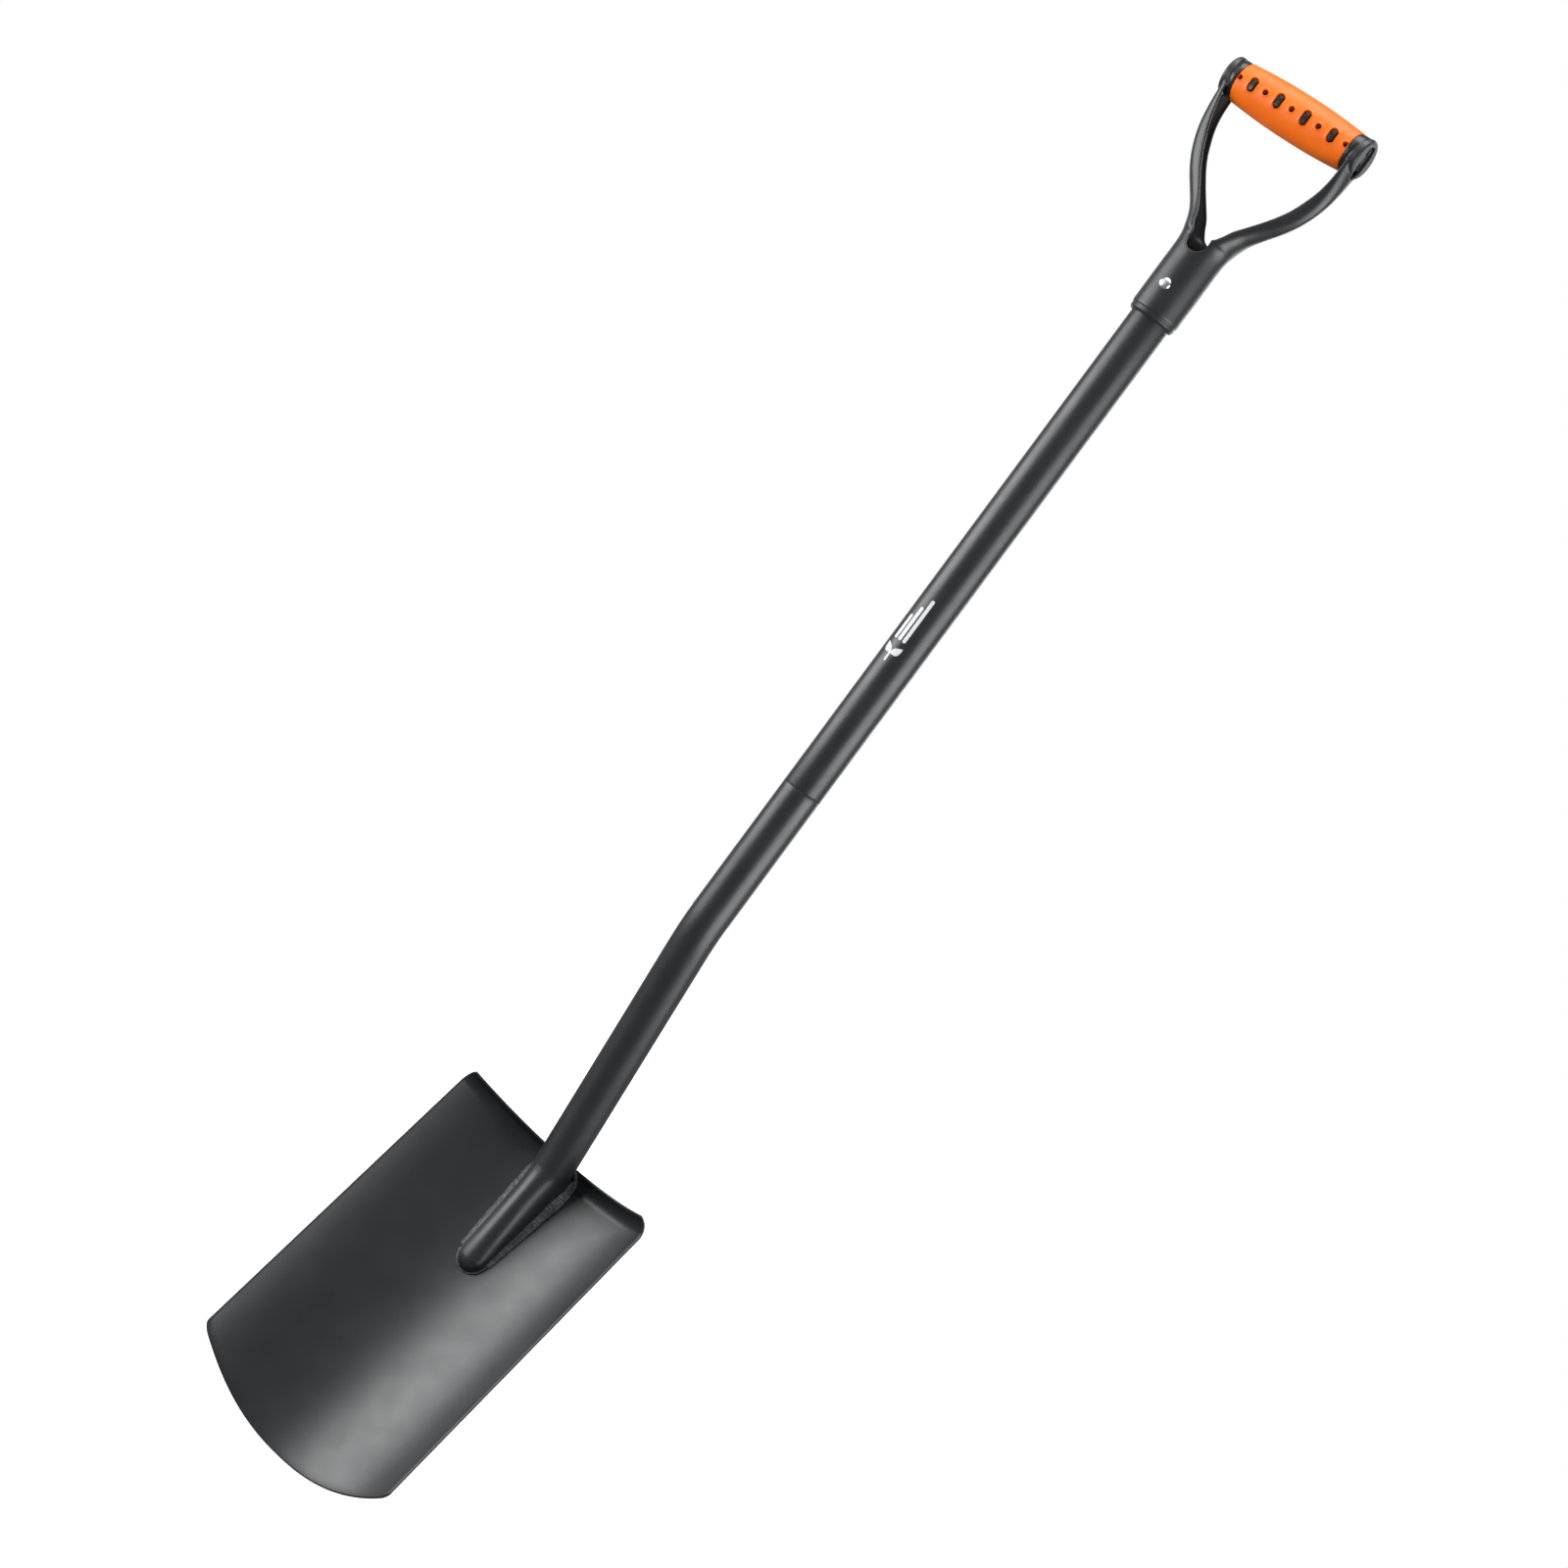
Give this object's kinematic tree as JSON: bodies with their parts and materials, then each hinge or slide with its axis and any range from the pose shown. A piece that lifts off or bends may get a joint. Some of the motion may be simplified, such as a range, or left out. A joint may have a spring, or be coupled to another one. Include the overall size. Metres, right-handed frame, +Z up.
{
  "type": "digging spade",
  "caption": "Two-piece steel digging spade: a dished blade welded to a cranked tube, screwed to an upper tube with a D-handle and cross grip.",
  "frame": {"origin": "bottom centre of the bounding box: the lowest point of the blade's cutting edge is at Z = 0", "axes": "+Z up along the upper tube towards the grip, the dished face of the blade looks along -Y, +X along the grip"},
  "size_m": [0.1896, 0.1326, 1.1779],
  "materials": {
    "powder_coat": "satin charcoal powder coat",
    "weld_coat": "rough weld metal under powder coat",
    "zinc_plate": "bright zinc plate",
    "orange_grip": "soft matt grip sleeve",
    "black_plastic": "moulded black plastic",
    "black_washer": "matt black"
  },
  "bodies": {
    "blade_half": {"blade": "powder_coat", "lower_tube": "powder_coat", "weld_left": "weld_coat", "weld_right": "weld_coat", "weld_toe": "weld_coat", "thread_socket": "zinc_plate", "socket_plug_weld_left": "weld_coat", "socket_plug_weld_right": "weld_coat"},
    "joint_washer": {"joint_washer": "black_washer"},
    "handle_half": {"thread_stud": "zinc_plate", "stud_plug_weld_left": "weld_coat", "stud_plug_weld_right": "weld_coat", "upper_tube": "powder_coat", "yoke": "powder_coat", "yoke_rivet": "zinc_plate", "grip_core": "black_plastic", "grip_sleeve": "orange_grip", "grip_bar": "powder_coat"}
  },
  "joints": [
    {"name": "handle_rise", "type": "slide", "parent": "blade_half", "child": "joint_washer", "axis": [0, 0, 1], "range_m": [0, 0.0245]},
    {"name": "handle_turn", "type": "hinge", "parent": "joint_washer", "child": "handle_half", "pos_m": [0, 0.00626, 0.58835], "axis": [0, 0, 1], "range_deg": [0, 3510]}
  ],
  "couplings": [
    {"joint": "handle_rise", "follows": "handle_turn", "m_per_rad": 0.00039789}
  ]
}
